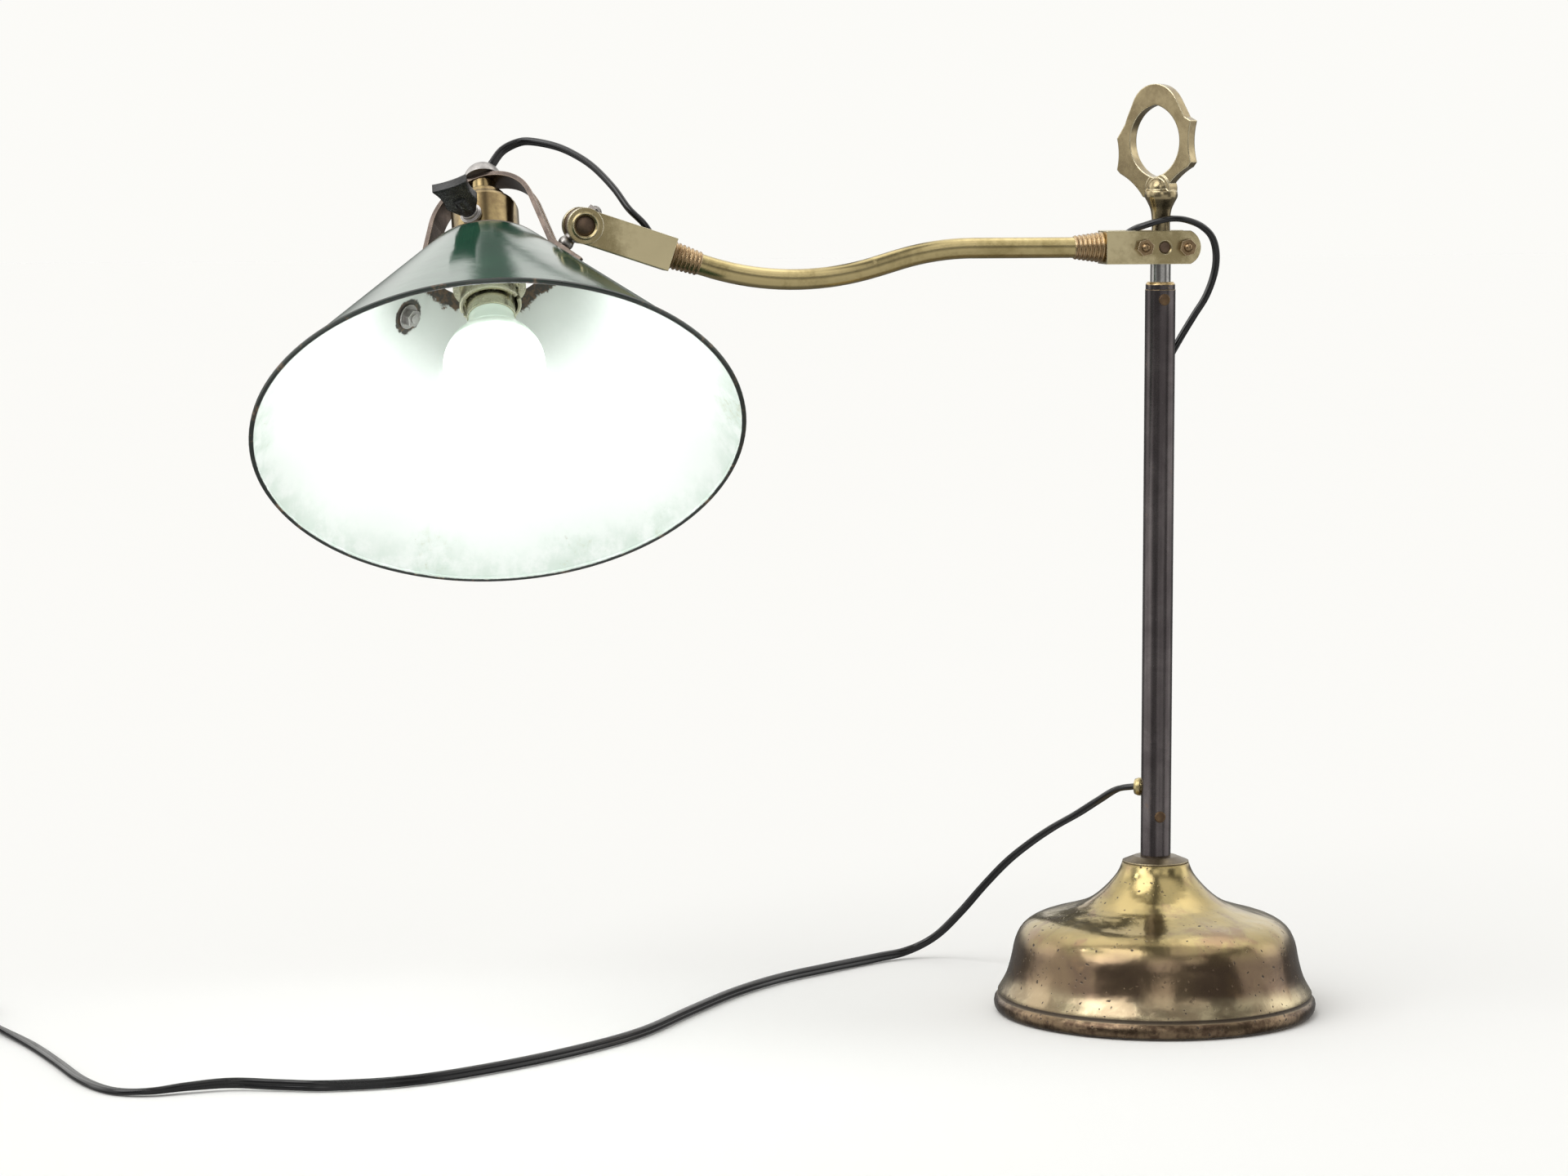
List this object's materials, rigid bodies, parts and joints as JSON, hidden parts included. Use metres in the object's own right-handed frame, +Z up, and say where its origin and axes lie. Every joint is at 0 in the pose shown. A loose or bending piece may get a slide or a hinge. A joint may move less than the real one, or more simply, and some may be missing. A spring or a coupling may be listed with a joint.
{
  "type": "articulated desk lamp",
  "caption": "Brass desk lamp on a weighted bell base, with a ring-topped post, a curved arm on pierced-ball fork joints and an enamelled cone shade hung from a strap yoke.",
  "frame": {"origin": "centre of the base's underside, on the table", "axes": "+Z up the post, the arm points along -X at rest, the viewer stands towards -Y"},
  "size_m": [0.6955, 0.2824, 0.4306],
  "materials": {
    "aged_brass": "aged, dull with brighter wear",
    "dark_brass": "dark brown patina",
    "bronze": "dark copper tone, rubbed edges",
    "steel": "satin",
    "iron": "rough",
    "felt": "felt",
    "cord": "satin",
    "plug": "matte",
    "nickel": "dull",
    "enamel": "gloss enamel, white inside",
    "insulator": "glazed",
    "lamp_glass": "frosted",
    "key_black": "satin"
  },
  "bodies": {
    "base": {"base_shell": "aged_brass", "base_plate": "steel", "plate_screws": "steel", "ballast_weight": "iron", "base_felt": "felt", "base_collar": "aged_brass", "tie_stud": "steel", "tie_washer": "steel", "tie_nut": "steel", "post_spigot": "aged_brass", "post_tube": "dark_brass", "post_bush": "aged_brass", "post_rivets": "bronze", "neck_rod": "steel", "ring_handle": "aged_brass", "cord_grommet": "aged_brass", "post_lead": "cord", "mains_cord": "cord", "mains_coil": "cord", "coil_tie": "plug", "plug_sleeve": "cord", "plug_body": "plug", "plug_pins": "nickel"},
    "pivot_ball": {"pivot_ball": "bronze"},
    "arm": {"rear_fork": "aged_brass", "fork_bolts": "bronze", "fork_nuts": "bronze", "rear_ferrule": "bronze", "arm_tube": "aged_brass", "front_ferrule": "bronze", "front_fork": "aged_brass", "arm_lead": "cord", "post_loop": "cord", "head_loop": "cord"},
    "head_ball": {"head_ball_joint": "bronze"},
    "head": {"ball_stud": "bronze", "stud_nut": "steel", "yoke": "bronze", "yoke_bolts": "steel", "yoke_washers": "steel", "yoke_nuts": "steel", "shade": "enamel", "dome_nut": "nickel", "socket_nipple": "aged_brass", "socket_cap": "aged_brass", "socket_barrel": "aged_brass", "barrel_ring": "aged_brass", "socket_insulator": "insulator", "contact_plungers": "aged_brass", "switch_bush": "nickel", "lamp_cap": "aged_brass", "lamp_glass": "lamp_glass", "head_lead": "cord"},
    "key": {"key_shaft": "steel", "switch_key": "key_black"}
  },
  "joints": [
    {"name": "arm_swing", "type": "hinge", "parent": "base", "child": "pivot_ball", "pos_m": [0, 0, 0.356], "axis": [0, 0, 1], "range_deg": [-150, 150], "deforming": ["post_loop"]},
    {"name": "arm_tilt", "type": "hinge", "parent": "pivot_ball", "child": "arm", "pos_m": [0, 0, 0.356], "axis": [0, 1, 0], "range_deg": [-30, 40], "deforming": ["post_loop"]},
    {"name": "head_tilt", "type": "hinge", "parent": "arm", "child": "head_ball", "pos_m": [-0.2693, 0, 0.36705], "axis": [0, 1, 0], "range_deg": [-24, 60], "deforming": ["head_loop"]},
    {"name": "head_spin", "type": "hinge", "parent": "head_ball", "child": "head", "pos_m": [-0.2693, 0, 0.36705], "axis": [0.7041, 0.0924, 0.7041], "range_deg": [-90, 90], "deforming": ["head_loop"]},
    {"name": "switch_turn", "type": "hinge", "parent": "head", "child": "key", "pos_m": [-0.31898, 0.01461, 0.37422], "axis": [-0.5041, -0.6334, 0.5872], "range_deg": [0, 90]}
  ]
}
